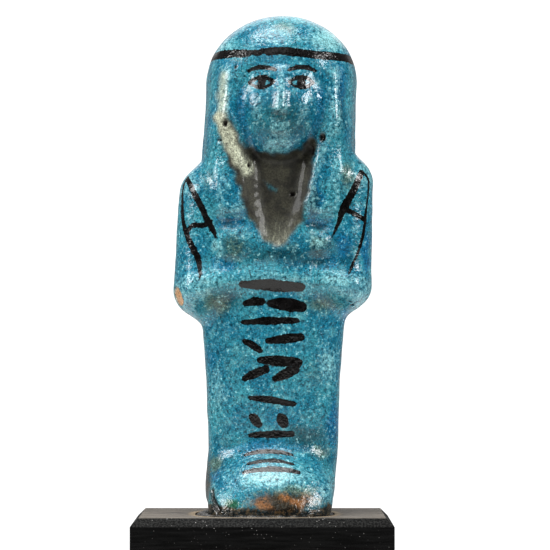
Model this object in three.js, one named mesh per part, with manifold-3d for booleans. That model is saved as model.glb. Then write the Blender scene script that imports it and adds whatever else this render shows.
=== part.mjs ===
// A glazed ushabti figurine, arms crossed on the chest, standing in the oval socket of a black wooden stand.
// Millimetres, +Z up. The figure looks along -Y and +X is at its left hand.
// The origin is under the middle of the stand.

import * as THREE from "three";
import { mergeVertices } from "three/addons/utils/BufferGeometryUtils.js";
import Module from "manifold-3d";

const wasm = await Module();
wasm.setup();

// ---- Driving dimensions ----------------------------------------------------------------------

const FIGURE_HEIGHT = 85; // sole to crown

const STAND_WIDTH = 43.5;
const STAND_DEPTH = 36;
const STAND_HEIGHT = 20;
const STAND_CHAMFER = 1.4;
const SOCKET_DEPTH = 1.2;
const SOCKET_HALF_WIDTH = 11.7;
const SOCKET_HALF_DEPTH = 12.6;
const TOUCH_GAP = 0.3; // kept between the sole and the socket's floor

const FIGURE_X = 1.8; // the figure stands a little to one side of the stand's middle
const FIGURE_Y = 0.5;
const SOCKET_X = FIGURE_X - 1.4;
const SOCKET_Y = FIGURE_Y - 2.9;

// Heights on the figure, as shares of its height.
const CHIN_Z = 0.72 * FIGURE_HEIGHT;
const CROWN_CENTRE_Z = 0.865 * FIGURE_HEIGHT; // middle of the wig's dome
const SHOULDER_Z = 0.645 * FIGURE_HEIGHT;
const HAIR_END_Z = 0.605 * FIGURE_HEIGHT; // lower edge of the wig behind
const NECKLINE_FOOT_Z = 0.535 * FIGURE_HEIGHT; // point where the open neck between the lappets ends
const ELBOW_Z = 0.452 * FIGURE_HEIGHT;

// The head leans to the figure's left and the foot to its right, as in a piece pressed by hand.
const HEAD_LEAN = 1.5;
const FOOT_LEAN = -0.8;

// Grid of the figure's surface: rows of the spine and the heights where their spacing changes.
const COLUMNS = 60;
const CAP_ROWS = 9;
const FRONT_CROWDING = 0.38; // columns stand closer in front, 0 to 1
const ROWS = [
  { row: 0, z: 5 },
  { row: 11, z: 33 },
  { row: 36, z: 59 },
  { row: 54, z: CROWN_CENTRE_Z },
];

// ---- Small maths -----------------------------------------------------------------------------

const { clamp, lerp, smoothstep } = THREE.MathUtils;

// The two distances joined with a fillet of about the given width.
function smoothMin(a, b, width) {
  const overlap = Math.max(width - Math.abs(a - b), 0) / width;
  return Math.min(a, b) - (overlap * overlap * width) / 4;
}

// The larger of the two, with the step between them rounded over the given width.
const smoothMax = (a, b, width) => -smoothMin(-a, -b, width);

// Distance to an ellipsoid.
function ellipsoid(p, centre, radii) {
  const q = [0, 1, 2].map((i) => (p[i] - centre[i]) / radii[i]);
  const reach = Math.hypot(...q);
  const slope = Math.hypot(...q.map((value, i) => value / radii[i]));
  return slope < 1e-9 ? -Math.min(...radii) : (reach * (reach - 1)) / slope;
}

// Reach of a point out of a rounded block, 1 on its surface: 2 is an ellipsoid, more is squarer.
function roundedReach(ratios, squareness) {
  return ratios.reduce((sum, ratio) => sum + Math.abs(ratio) ** squareness, 0) ** (1 / squareness);
}

// Distance to a straight limb with round ends, its depth being its width times the given factor.
function limb(p, start, end, startRadius, endRadius, depthFactor) {
  const axis = end.map((value, i) => value - start[i]);
  const rel = p.map((value, i) => value - start[i]);
  const dot = rel[0] * axis[0] + rel[1] * axis[1] + rel[2] * axis[2];
  const along = clamp(dot / (axis[0] ** 2 + axis[1] ** 2 + axis[2] ** 2), 0, 1);
  const off = rel.map((value, i) => value - along * axis[i]);
  return Math.hypot(off[0], off[1] / depthFactor, off[2]) - lerp(startRadius, endRadius, along);
}

// Distance in the front view to a band along a chain of points, each with its half width.
function bandDistance(x, z, chain) {
  let distance = Infinity;
  for (let i = 1; i < chain.length; i++) {
    const [a, b] = [chain[i - 1], chain[i]];
    const [runX, runZ] = [b.x - a.x, b.z - a.z];
    const along = clamp(((x - a.x) * runX + (z - a.z) * runZ) / (runX ** 2 + runZ ** 2), 0, 1);
    const off = Math.hypot(x - a.x - along * runX, z - a.z - along * runZ);
    const piece = off - lerp(a.half, b.half, along);
    distance = i === 1 ? piece : smoothMin(distance, piece, 0.8);
  }
  return distance;
}

// 1 inside a form and 0 outside it, with a soft edge.
const raised = (distance, edge) => 1 - smoothstep(distance, -edge, 0.6 * edge);

// A soft round swelling, 1 in its middle.
const swell = (across, up) => Math.exp(-across * across - up * up);

// Value of one named size at a height, on a smooth curve through the stations.
function atHeight(stations, name, z) {
  const last = stations.length - 1;
  const above = stations.findIndex((station) => station.z > z);
  const k = clamp((above < 0 ? last : above) - 1, 0, last - 1);
  const slopeAt = (n) => {
    if (n === 0 || n === last) return 0;
    return (stations[n + 1][name] - stations[n - 1][name]) / (stations[n + 1].z - stations[n - 1].z);
  };
  const [low, high] = [stations[k], stations[k + 1]];
  const span = high.z - low.z;
  const t = clamp((z - low.z) / span, 0, 1);
  return (
    (2 * t ** 3 - 3 * t ** 2 + 1) * low[name] +
    (t ** 3 - 2 * t ** 2 + t) * span * slopeAt(k) +
    (3 * t ** 2 - 2 * t ** 3) * high[name] +
    (t ** 3 - t ** 2) * span * slopeAt(k + 1)
  );
}

// ---- The figure's main forms, as distances in millimetres, sole at z = 0 ----------------------------

// Body and wig as one column: half width, depth before and behind the spine, and how square it is.
const COLUMN = [
  { z: 0, half: 9.5, front: 6.2, back: 7.4, square: 2.6 }, // sole
  { z: 4, half: 10.7, front: 6.6, back: 8.0, square: 2.6 }, // heel
  { z: 12, half: 10.95, front: 6.5, back: 7.7, square: 2.5 }, // ankle
  { z: 20, half: 11.2, front: 7.2, back: 7.9, square: 2.5 }, // shin
  { z: 28, half: 11.6, front: 7.8, back: 8.4, square: 2.5 }, // knee
  { z: 36, half: 12.3, front: 8.2, back: 8.8, square: 2.5 }, // hip
  { z: 44, half: 13.2, front: 8.3, back: 8.9, square: 2.5 }, // waist
  { z: 52, half: 13.4, front: 8.2, back: 9.0, square: 2.5 }, // chest
  { z: 60, half: 12.65, front: 8.6, back: 9.2, square: 2.4 }, // hair on the shoulders
  { z: 68, half: 12.55, front: 9.3, back: 9.4, square: 2.2 }, // hair beside the cheeks
  { z: CROWN_CENTRE_Z, half: 12.6, front: 9.4, back: 9.4, square: 2.0 },
];

function column([x, y, z]) {
  const half = atHeight(COLUMN, "half", z);
  const front = atHeight(COLUMN, "front", z);
  const back = atHeight(COLUMN, "back", z);
  const dome = Math.max(z - CROWN_CENTRE_Z, 0) / (FIGURE_HEIGHT - CROWN_CENTRE_Z);
  const reach = roundedReach([x / half, y / (y < 0 ? front : back), dome], atHeight(COLUMN, "square", z));
  return (reach - 1) * Math.min(front, back);
}

// The foot: a bun that slopes down to the toes, its top an arch from side to side.
function foot([x, y, z]) {
  const middle = [0.2, -7.2, 4.0];
  const half = [10.1, 6.9, 7.2];
  const toeSlope = 0.5;
  const lifted = z - middle[2] - toeSlope * (y - middle[1]);
  const squareness = lerp(2.4, 2.05, smoothstep(lifted, -1, 4));
  const ratios = [(x - middle[0]) / half[0], (y - middle[1]) / half[1], lifted / half[2]];
  return (roundedReach(ratios, squareness) - 1) * half[2];
}

// An upper arm, hanging at the side.
function upperArm(p, arm) {
  const shoulder = [arm.side * 12.2, -1.9, SHOULDER_Z + 1.3 * arm.lift];
  const elbow = [arm.side * arm.elbowX, -2.3, ELBOW_Z + arm.lift];
  return limb(p, shoulder, elbow, 3.9, arm.elbowRadius, 1.3);
}
const RIGHT_ARM = { side: -1, lift: 0, elbowX: 12.6, elbowRadius: 4.05 };
const LEFT_ARM = { side: 1, lift: 1.1, elbowX: 12.5, elbowRadius: 3.9 };

// Sideways lean of the figure at a height.
const lean = (z) => HEAD_LEAN * smoothstep(z, 38, 80) + FOOT_LEAN * (1 - smoothstep(z, 0, 14));

// ---- Relief on the front, as millimetres raised above the column ------------------------------------

const LAPPET = [
  { x: 9.9, z: 74, half: 2.6 },
  { x: 9.6, z: 66, half: 2.9 },
  { x: 8.6, z: 59, half: 3.1 },
  { x: 7.4, z: 53.4, half: 3.1 },
];
const FOREARM = [
  { x: 13.4, z: 38.8, half: 3.3 },
  { x: 9.5, z: 39.6, half: 2.6 },
  { x: 5, z: 40.5, half: 2.4 },
  { x: 0, z: 40.9, half: 2.3 },
];
const LEFT_FIST = { x: -6.4, z: 46.0, half: 3.3, square: 2.6, edge: 2.0 }; // the hands cross over
const RIGHT_FIST = { x: 7.4, z: 46.2, half: 2.3, square: 3.2, edge: 1.5 };
const DENTS = [
  // hollows above the fists
  { x: -7.3, z: 49.8, half: 2.2 },
  { x: 7.1, z: 49.4, half: 2.0 },
];

function fist(x, z, hand) {
  const reach = roundedReach([(x - hand.x) / hand.half, (z - hand.z) / hand.half], hand.square);
  return 0.9 * raised((reach - 1) * hand.half, hand.edge);
}

const dent = (x, z, { x: middleX, z: middleZ, half }) => 0.5 * swell((x - middleX) / half, z - middleZ);

// The open neck between the lappets, deepest under the chin, narrowing to a point above the hands.
function neckline(x, z) {
  const length = CHIN_Z - NECKLINE_FOOT_Z;
  const along = clamp((z - NECKLINE_FOOT_Z) / length, 0.0001, 1);
  const half = 5.9 * along ** 0.42;
  const depth = lerp(0.8, 2.3, along);
  const foot = smoothstep(z, NECKLINE_FOOT_Z - 0.7, NECKLINE_FOOT_Z + 1.7);
  const underChin = 1 - smoothstep(z, CHIN_Z + 1, CHIN_Z + 5);
  return -depth * (1 - smoothstep(Math.abs(x - 0.2) - half, -2.6, 0.9)) * foot * underChin;
}

function frontRelief(x, z) {
  const across = Math.abs(x);
  const lappets = 1.1 * raised(bandDistance(across, z, LAPPET), 1.8) * (1 - smoothstep(z, 64, 74));
  const forearms = 1.2 * raised(bandDistance(across, z, FOREARM), 2.6);
  const fists = Math.max(fist(x, z, LEFT_FIST), fist(x, z, RIGHT_FIST));
  const limbs = smoothMax(smoothMax(lappets, forearms, 0.7), fists, 0.6);
  const besideFace = smoothstep(z, CHIN_Z + 1, CHIN_Z + 7) * (1 - smoothstep(z, CHIN_Z + 12, CHIN_Z + 17));
  const hairEdge = 0.7 * swell((across - 9.2) / 1.5, 0) * besideFace;
  const dents = dent(x, z, DENTS[0]) + dent(x, z, DENTS[1]);
  return limbs + hairEdge + neckline(x, z) - dents;
}

// ---- The face, by the classical canon: eyes halfway from crown to chin, equal thirds below the hair ----

const EYE_Z = (FIGURE_HEIGHT + CHIN_Z) / 2;
const FACE_THIRD = (FIGURE_HEIGHT - CHIN_Z) * 0.275;
const NOSE_BASE_Z = CHIN_Z + FACE_THIRD;
const BROW_Z = CHIN_Z + 2 * FACE_THIRD;
const MOUTH_Z = NOSE_BASE_Z - FACE_THIRD / 3;
const FACE_HALF_WIDTH = FACE_THIRD * 1.1;
const EYE_WIDTH = (2 * FACE_HALF_WIDTH) / 5;
const FACE_MIDDLE_Z = (CHIN_Z + BROW_Z) / 2 + 1.2;
const FACE_FRONT_Y = -10.9;
const FACE_DEPTH = 6.4;

// A wedge, narrow and low between the brows, broad and high at its tip.
function nose(across, z) {
  const down = clamp((BROW_Z - z) / (BROW_Z - NOSE_BASE_Z), 0, 1);
  const half = lerp(0.8, 1.35, down ** 1.5);
  const base = 1 - smoothstep(NOSE_BASE_Z - z, -1.0, 0.35);
  const bridge = 1 - smoothstep(z, BROW_Z - 1.5, BROW_Z + 2);
  return lerp(0.3, 1.25, down) * Math.exp(-((across / half) ** 2.2)) * base * bridge;
}

function eye(across, z) {
  const socket = swell((across - 0.95 * EYE_WIDTH) / 2.0, (z - EYE_Z - 0.1) / 1.5);
  const lid = swell((across - 1.15 * EYE_WIDTH) / 1.25, (z - EYE_Z) / 0.75);
  const arch = BROW_Z + 0.1 - 0.05 * (across - 2.7) ** 2;
  const brow = swell(0, (z - arch) / 0.9) * smoothstep(across, 0.2, 1.8) * (1 - smoothstep(across, 4.2, 6.4));
  return 0.42 * lid + 0.25 * brow - 0.75 * socket;
}

function mouth(across, z) {
  const smile = 0.05 * across ** 2;
  const upper = swell(0, (z - MOUTH_Z - 0.55 - smile) / 0.5) * (1 - smoothstep(across, 0.9, 2.1));
  const lower = swell(0, (z - MOUTH_Z + 0.65 - smile) / 0.55) * (1 - smoothstep(across, 0.6, 1.9));
  return 0.42 * swell(across / 2.4, (z - MOUTH_Z) / 1.8) + 0.26 * upper + 0.3 * lower;
}

function face([x, y, z]) {
  const across = Math.abs(x);
  const jaw = 1 + 0.24 * smoothstep(FACE_MIDDLE_Z - z, -1.5, FACE_THIRD + 2);
  const behind = (y - FACE_FRONT_Y - FACE_DEPTH) / FACE_DEPTH;
  const ratios = [(x * jaw) / FACE_HALF_WIDTH, behind, (z - FACE_MIDDLE_Z) / 9.3];
  const cheek = 0.3 * swell((across - 3.6) / 1.9, (z - NOSE_BASE_Z - 0.2) / 2.2);
  const chin = 0.5 * swell(across / 1.9, (z - CHIN_Z - 1.7) / 1.3);
  const features = nose(across, z) + eye(across, z) + mouth(across, z) + cheek + chin;
  return (roundedReach(ratios, 2.3) - 1) * FACE_DEPTH - features;
}

// The hollow in the front of the wig that the face sits in.
const faceHollow = (p) => ellipsoid(p, [0, -11, FACE_MIDDLE_Z], [FACE_HALF_WIDTH + 2.3, 3.4, 9.8]);

// The whole figure as one distance, negative inside.
function figureDistance([px, y, z]) {
  const x = px - lean(z);
  const p = [x, y, z];
  const hairBehind = 0.45 * smoothstep(z, HAIR_END_Z - 0.9, HAIR_END_Z + 0.9) * smoothstep(y, 0, 3);
  const arms = smoothMin(upperArm(p, RIGHT_ARM), upperArm(p, LEFT_ARM), 1);
  let form = smoothMin(column(p) - hairBehind, foot(p), 2.2);
  form = smoothMin(form, arms, 3);
  form -= frontRelief(x, z) * smoothstep(-y, 1, 5);
  form = smoothMax(form, -faceHollow(p), 1.8);
  form = smoothMin(form, face(p), 0.9);
  return smoothMax(form, -z - 0.4, 1.6);
}

// ---- From forms to solids ----------------------------------------------------------------------

// A closed three.js geometry as a solid for cutting.
function toSolid(geometry) {
  const bare = geometry.clone();
  bare.deleteAttribute("normal");
  bare.deleteAttribute("uv");
  const merged = mergeVertices(bare, 1e-4);
  const index = merged.index.array;
  const triangles = [];
  for (let i = 0; i < index.length; i += 3) {
    const [a, b, c] = index.subarray(i, i + 3);
    if (a !== b && b !== c && c !== a) triangles.push(a, b, c);
  }
  const mesh = new wasm.Mesh({
    numProp: 3,
    vertProperties: merged.attributes.position.array,
    triVerts: new Uint32Array(triangles),
  });
  return new wasm.Manifold(mesh);
}

function toGeometry(solid) {
  const mesh = solid.getMesh();
  const positions = new Float32Array(mesh.numVert * 3);
  for (let i = 0; i < mesh.numVert; i++) {
    positions.set(mesh.vertProperties.subarray(i * mesh.numProp, i * mesh.numProp + 3), i * 3);
  }
  const geometry = new THREE.BufferGeometry();
  geometry.setAttribute("position", new THREE.BufferAttribute(positions, 3));
  geometry.setIndex(new THREE.BufferAttribute(mesh.triVerts, 1));
  geometry.computeVertexNormals();
  return geometry;
}

// Everything below the level z = 0, for cutting a piece flat underneath.
const belowGround = () => toSolid(new THREE.BoxGeometry(60, 60, 10).translate(0, 0, -5));

// Distance along a ray from the spine to the figure's surface.
function rayToSurface(origin, direction) {
  const at = (t) => figureDistance(origin.map((value, i) => value + t * direction[i]));
  const reach = 24;
  const step = 0.5;
  const halvings = 20;
  let outside = reach;
  while (outside > step && at(outside - step) > 0) outside -= step;
  let inside = outside - step;
  for (let i = 0; i < halvings; i++) {
    const middle = (inside + outside) / 2;
    if (at(middle) > 0) outside = middle;
    else inside = middle;
  }
  return (inside + outside) / 2;
}

// Height of the spine at a row of the grid.
function spineHeight(row) {
  const k = Math.max(ROWS.findIndex((station) => station.row >= row), 1);
  const [low, high] = [ROWS[k - 1], ROWS[k]];
  return lerp(low.z, high.z, (row - low.row) / (high.row - low.row));
}

// A capsule's grid, with every vertex sent out from the spine to the figure's surface.
function figureGeometry() {
  const rows = ROWS.at(-1).row;
  const geometry = new THREE.CapsuleGeometry(1, rows, CAP_ROWS, COLUMNS, rows);
  geometry.rotateX(Math.PI / 2);
  const position = geometry.attributes.position;
  for (let i = 0; i < position.count; i++) {
    const row = position.getZ(i) + rows / 2;
    const spineRow = clamp(row, 0, rows);
    const spineZ = spineHeight(spineRow);
    const spineY = -2.5 * (1 - smoothstep(spineZ, 5, 20)); // leans forward over the foot
    const azimuth = Math.atan2(position.getX(i), -position.getY(i));
    const turned = azimuth - FRONT_CROWDING * Math.sin(azimuth);
    const up = row - spineRow;
    const level = Math.sqrt(Math.max(1 - up * up, 0));
    const direction = [level * Math.sin(turned), -level * Math.cos(turned), up];
    const origin = [lean(spineZ), spineY, spineZ];
    const reach = rayToSurface(origin, direction);
    position.setXYZ(i, ...origin.map((value, k) => value + reach * direction[k]));
  }
  return geometry;
}

// The stand: a block with a chamfered top and a shallow oval socket cut for the foot.
function standSolid() {
  const halfWidth = STAND_WIDTH / 2 - STAND_CHAMFER;
  const halfDepth = STAND_DEPTH / 2 - STAND_CHAMFER;
  const outline = new THREE.Shape();
  outline.moveTo(-halfWidth, -halfDepth);
  outline.lineTo(halfWidth, -halfDepth);
  outline.lineTo(halfWidth, halfDepth);
  outline.lineTo(-halfWidth, halfDepth);
  outline.closePath();
  const block = new THREE.ExtrudeGeometry(outline, {
    depth: STAND_HEIGHT,
    bevelEnabled: true,
    bevelThickness: STAND_CHAMFER,
    bevelSize: STAND_CHAMFER,
    bevelSegments: 1,
  }).translate(0, 0, -STAND_CHAMFER);
  return toSolid(block).subtract(belowGround()).subtract(toSolid(socketGeometry()));
}

// The oval that the foot stands in, fuller than an ellipse.
function socketGeometry() {
  const squareness = 2.8;
  const steps = 56;
  const fuller = (value) => Math.sign(value) * Math.abs(value) ** (2 / squareness);
  const points = [];
  for (let i = 0; i < steps; i++) {
    const angle = (i / steps) * 2 * Math.PI;
    const x = SOCKET_HALF_WIDTH * fuller(Math.cos(angle));
    const y = SOCKET_HALF_DEPTH * fuller(Math.sin(angle));
    points.push(new THREE.Vector2(x, y));
  }
  const outline = new THREE.Shape(points);
  const cut = new THREE.ExtrudeGeometry(outline, { depth: 2 * SOCKET_DEPTH, bevelEnabled: false });
  return cut.translate(SOCKET_X, SOCKET_Y, STAND_HEIGHT - SOCKET_DEPTH);
}

// ---- The model -----------------------------------------------------------------------------------

const faience = new THREE.MeshStandardMaterial({ color: 0x4a98ae, roughness: 0.35, metalness: 0 });
const blackWood = new THREE.MeshStandardMaterial({ color: 0x191817, roughness: 0.55, metalness: 0 });

const object = new THREE.Group();

const stand = new THREE.Mesh(toGeometry(standSolid()), blackWood);
stand.name = "display_stand";
object.add(stand);

const figureSolid = toSolid(figureGeometry()).subtract(belowGround());
const figure = new THREE.Mesh(toGeometry(figureSolid), faience);
figure.name = "ushabti_figurine";
figure.position.set(FIGURE_X, FIGURE_Y, STAND_HEIGHT - SOCKET_DEPTH + TOUCH_GAP);
object.add(figure);

export default object;
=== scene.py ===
# A glazed ushabti figurine with painted black lines, standing in the oval socket of a black wooden block.
# The scene is in metres, +Z up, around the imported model. The figure's forms are worked out in millimetres in
# its own frame: the sole at z = 0, the spine through the origin, the front towards -Y, +X at its left hand.

import math

import bmesh
import bpy
import numpy as np
from mathutils import Matrix, Vector, noise


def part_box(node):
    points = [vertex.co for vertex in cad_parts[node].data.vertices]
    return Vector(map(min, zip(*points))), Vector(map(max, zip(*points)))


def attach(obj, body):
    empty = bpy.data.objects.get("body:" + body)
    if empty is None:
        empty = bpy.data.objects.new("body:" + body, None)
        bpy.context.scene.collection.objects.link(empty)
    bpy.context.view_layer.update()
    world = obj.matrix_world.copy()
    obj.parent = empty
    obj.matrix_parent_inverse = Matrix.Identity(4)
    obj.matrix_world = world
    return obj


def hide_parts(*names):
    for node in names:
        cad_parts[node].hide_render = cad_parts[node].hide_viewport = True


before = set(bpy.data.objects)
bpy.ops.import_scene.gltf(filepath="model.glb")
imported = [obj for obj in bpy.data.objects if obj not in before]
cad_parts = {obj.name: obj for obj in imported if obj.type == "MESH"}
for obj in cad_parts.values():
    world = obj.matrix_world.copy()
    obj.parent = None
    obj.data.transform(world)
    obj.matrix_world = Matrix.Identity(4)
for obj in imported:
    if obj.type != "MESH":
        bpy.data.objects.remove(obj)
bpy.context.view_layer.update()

# ---- Sizes --------------------------------------------------------------------------------------

MM = 0.001
FIGURE_LOW, FIGURE_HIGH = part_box("ushabti_figurine")
STAND_LOW, STAND_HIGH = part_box("display_stand")

FIGURE_HEIGHT = 85.0  # sole to crown
FIGURE_SIDE_REACH = (-16.79, 16.83)  # how far the elbows reach to either side of the spine
FIGURE_BACK_REACH = 9.86

# The spine's place in the frame, in metres.
SPINE = Vector((
    (FIGURE_LOW.x + FIGURE_HIGH.x) / 2 - sum(FIGURE_SIDE_REACH) / 2 * MM,
    FIGURE_HIGH.y - FIGURE_BACK_REACH * MM,
    FIGURE_LOW.z,
))
STAND_TOP = STAND_HIGH.z

# The oval socket in the stand's top, fuller than an ellipse, a little to one side of the spine.
SOCKET_HALF_WIDTH = 11.7
SOCKET_HALF_DEPTH = 12.6
SOCKET_SQUARENESS = 2.8
SOCKET_MIDDLE = SPINE + Vector((-1.4 * MM, -2.9 * MM, 0))

# Heights on the figure, as shares of its height.
CHIN_Z = 0.72 * FIGURE_HEIGHT
CROWN_CENTRE_Z = 0.865 * FIGURE_HEIGHT
SHOULDER_Z = 0.645 * FIGURE_HEIGHT
HAIR_END_Z = 0.605 * FIGURE_HEIGHT
NECKLINE_FOOT_Z = 0.535 * FIGURE_HEIGHT
ELBOW_Z = 0.452 * FIGURE_HEIGHT

HEAD_LEAN = 1.5
FOOT_LEAN = -0.8


# ---- Small maths, on whole arrays of points ---------------------------------------------------------

def lerp(a, b, t):
    return a + (b - a) * t


def smoothstep(value, start, end):
    t = np.clip((value - start) / (end - start), 0, 1)
    return t * t * (3 - 2 * t)


def smooth_min(a, b, width):
    overlap = np.maximum(width - np.abs(a - b), 0) / width
    return np.minimum(a, b) - overlap * overlap * width / 4


def smooth_max(a, b, width):
    return -smooth_min(-a, -b, width)


def swell(across, up):
    """A soft round swelling, 1 in its middle."""
    return np.exp(-across * across - up * up)


def raised(distance, edge):
    """1 inside a form and 0 outside it, with a soft edge."""
    return 1 - smoothstep(distance, -edge, 0.6 * edge)


def rounded_reach(ratios, squareness):
    """Reach of a point out of a rounded block, 1 on its surface: 2 is an ellipsoid, more is squarer."""
    return sum(np.abs(ratio) ** squareness for ratio in ratios) ** (1 / squareness)


def ellipsoid(p, centre, radii):
    q = [(p[i] - centre[i]) / radii[i] for i in range(3)]
    reach = np.sqrt(q[0] ** 2 + q[1] ** 2 + q[2] ** 2)
    slope = np.sqrt(sum((q[i] / radii[i]) ** 2 for i in range(3))) + 1e-9
    return reach * (reach - 1) / slope


def limb(p, start, end, start_radius, end_radius, depth_factor):
    """Distance to a straight limb with round ends, its depth being its width times the given factor."""
    axis = [end[i] - start[i] for i in range(3)]
    rel = [p[i] - start[i] for i in range(3)]
    along = np.clip(sum(rel[i] * axis[i] for i in range(3)) / sum(a * a for a in axis), 0, 1)
    off = [rel[i] - along * axis[i] for i in range(3)]
    return np.sqrt(off[0] ** 2 + (off[1] / depth_factor) ** 2 + off[2] ** 2) - lerp(start_radius, end_radius, along)


def band_distance(x, z, chain):
    """Distance in the front view to a band along a chain of (x, z, half width)."""
    distance = None
    for a, b in zip(chain, chain[1:]):
        run_x, run_z = b[0] - a[0], b[1] - a[1]
        along = np.clip(((x - a[0]) * run_x + (z - a[1]) * run_z) / (run_x ** 2 + run_z ** 2), 0, 1)
        piece = np.hypot(x - a[0] - along * run_x, z - a[1] - along * run_z) - lerp(a[2], b[2], along)
        distance = piece if distance is None else smooth_min(distance, piece, 0.8)
    return distance


def at_height(stations, name, z):
    """Value of one named size at a height, on a smooth curve through the stations."""
    heights = np.array([s["z"] for s in stations])
    values = np.array([s[name] for s in stations])
    slopes = np.zeros(len(values))
    slopes[1:-1] = (values[2:] - values[:-2]) / (heights[2:] - heights[:-2])
    k = np.clip(np.searchsorted(heights, z, side="right") - 1, 0, len(values) - 2)
    span = heights[k + 1] - heights[k]
    t = np.clip((z - heights[k]) / span, 0, 1)
    return (
        (2 * t ** 3 - 3 * t ** 2 + 1) * values[k]
        + (t ** 3 - 2 * t ** 2 + t) * span * slopes[k]
        + (3 * t ** 2 - 2 * t ** 3) * values[k + 1]
        + (t ** 3 - t ** 2) * span * slopes[k + 1]
    )

# ---- The figure's forms, as distances in millimetres ---------------------------------------------------

# Body and wig as one column: half width, depth before and behind the spine, and how square it is.
COLUMN = [
    dict(z=0, half=9.5, front=6.2, back=7.4, square=2.6),  # sole
    dict(z=4, half=10.7, front=6.6, back=8.0, square=2.6),  # heel
    dict(z=12, half=10.95, front=6.5, back=7.7, square=2.5),  # ankle
    dict(z=20, half=11.2, front=7.2, back=7.9, square=2.5),  # shin
    dict(z=28, half=11.6, front=7.8, back=8.4, square=2.5),  # knee
    dict(z=36, half=12.3, front=8.2, back=8.8, square=2.5),  # hip
    dict(z=44, half=13.2, front=8.3, back=8.9, square=2.5),  # waist
    dict(z=52, half=13.4, front=8.2, back=9.0, square=2.5),  # chest
    dict(z=60, half=12.65, front=8.6, back=9.2, square=2.4),  # hair on the shoulders
    dict(z=68, half=12.55, front=9.3, back=9.4, square=2.2),  # hair beside the cheeks
    dict(z=CROWN_CENTRE_Z, half=12.6, front=9.4, back=9.4, square=2.0),
]


def column(p):
    x, y, z = p
    half = at_height(COLUMN, "half", z)
    front = at_height(COLUMN, "front", z)
    back = at_height(COLUMN, "back", z)
    dome = np.maximum(z - CROWN_CENTRE_Z, 0) / (FIGURE_HEIGHT - CROWN_CENTRE_Z)
    reach = rounded_reach([x / half, y / np.where(y < 0, front, back), dome], at_height(COLUMN, "square", z))
    return (reach - 1) * np.minimum(front, back)


def foot(p):
    """A bun that slopes down to the toes, its top an arch from side to side."""
    x, y, z = p
    middle = (0.2, -7.2, 4.0)
    half = (10.1, 6.9, 7.2)
    toe_slope = 0.5
    lifted = z - middle[2] - toe_slope * (y - middle[1])
    squareness = lerp(2.4, 2.05, smoothstep(lifted, -1, 4))
    ratios = [(x - middle[0]) / half[0], (y - middle[1]) / half[1], lifted / half[2]]
    return (rounded_reach(ratios, squareness) - 1) * half[2]


RIGHT_ARM = dict(side=-1, lift=0.0, elbow_x=12.6, elbow_radius=4.05)
LEFT_ARM = dict(side=1, lift=1.1, elbow_x=12.5, elbow_radius=3.9)


def upper_arm(p, arm):
    shoulder = (arm["side"] * 12.2, -1.9, SHOULDER_Z + 1.3 * arm["lift"])
    elbow = (arm["side"] * arm["elbow_x"], -2.3, ELBOW_Z + arm["lift"])
    return limb(p, shoulder, elbow, 3.9, arm["elbow_radius"], 1.3)


def lean(z):
    """Sideways lean of the figure at a height."""
    return HEAD_LEAN * smoothstep(z, 38, 80) + FOOT_LEAN * (1 - smoothstep(z, 0, 14))


# ---- Relief on the front, as millimetres raised above the column -----------------------------------------

LAPPET = [(9.9, 74, 2.6), (9.6, 66, 2.9), (8.6, 59, 3.1), (7.4, 53.4, 3.1)]
FOREARM = [(13.4, 38.8, 3.3), (9.5, 39.6, 2.6), (5, 40.5, 2.4), (0, 40.9, 2.3)]
LEFT_FIST = dict(x=-6.4, z=46.0, half=3.3, square=2.6, edge=2.0, rise=0.9)
RIGHT_FIST = dict(x=7.4, z=46.2, half=2.3, square=3.2, edge=1.5, rise=0.9)
DENTS = [dict(x=-7.3, z=49.8, half=2.2, depth=0.5), dict(x=7.1, z=49.4, half=2.0, depth=0.5)]  # above the fists


def fist(x, z, hand):
    reach = rounded_reach([(x - hand["x"]) / hand["half"], (z - hand["z"]) / hand["half"]], hand["square"])
    return hand["rise"] * raised((reach - 1) * hand["half"], hand["edge"])


def neckline(x, z):
    """The open neck between the lappets, deepest under the chin, narrowing to a point above the hands."""
    along = np.clip((z - NECKLINE_FOOT_Z) / (CHIN_Z - NECKLINE_FOOT_Z), 0.0001, 1)
    half = 5.9 * along ** 0.42
    depth = lerp(0.8, 2.3, along)
    foot_end = smoothstep(z, NECKLINE_FOOT_Z - 0.7, NECKLINE_FOOT_Z + 1.7)
    under_chin = 1 - smoothstep(z, CHIN_Z + 1, CHIN_Z + 5)
    return -depth * (1 - smoothstep(np.abs(x - 0.2) - half, -2.6, 0.9)) * foot_end * under_chin


def front_relief(x, z):
    across = np.abs(x)
    lappets = 1.1 * raised(band_distance(across, z, LAPPET), 1.8) * (1 - smoothstep(z, 64, 74))
    forearms = 1.2 * raised(band_distance(across, z, FOREARM), 2.6)
    fists = np.maximum(fist(x, z, LEFT_FIST), fist(x, z, RIGHT_FIST))
    limbs = smooth_max(smooth_max(lappets, forearms, 0.7), fists, 0.6)
    beside_face = smoothstep(z, CHIN_Z + 1, CHIN_Z + 7) * (1 - smoothstep(z, CHIN_Z + 12, CHIN_Z + 17))
    hair_edge = 0.7 * swell((across - 9.2) / 1.5, 0) * beside_face
    dents = sum(dent["depth"] * swell((x - dent["x"]) / dent["half"], (z - dent["z"]) / 1.0) for dent in DENTS)
    return limbs + hair_edge + neckline(x, z) - dents


# ---- The face, by the classical canon: eyes halfway from crown to chin, equal thirds below the hair --------

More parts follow.
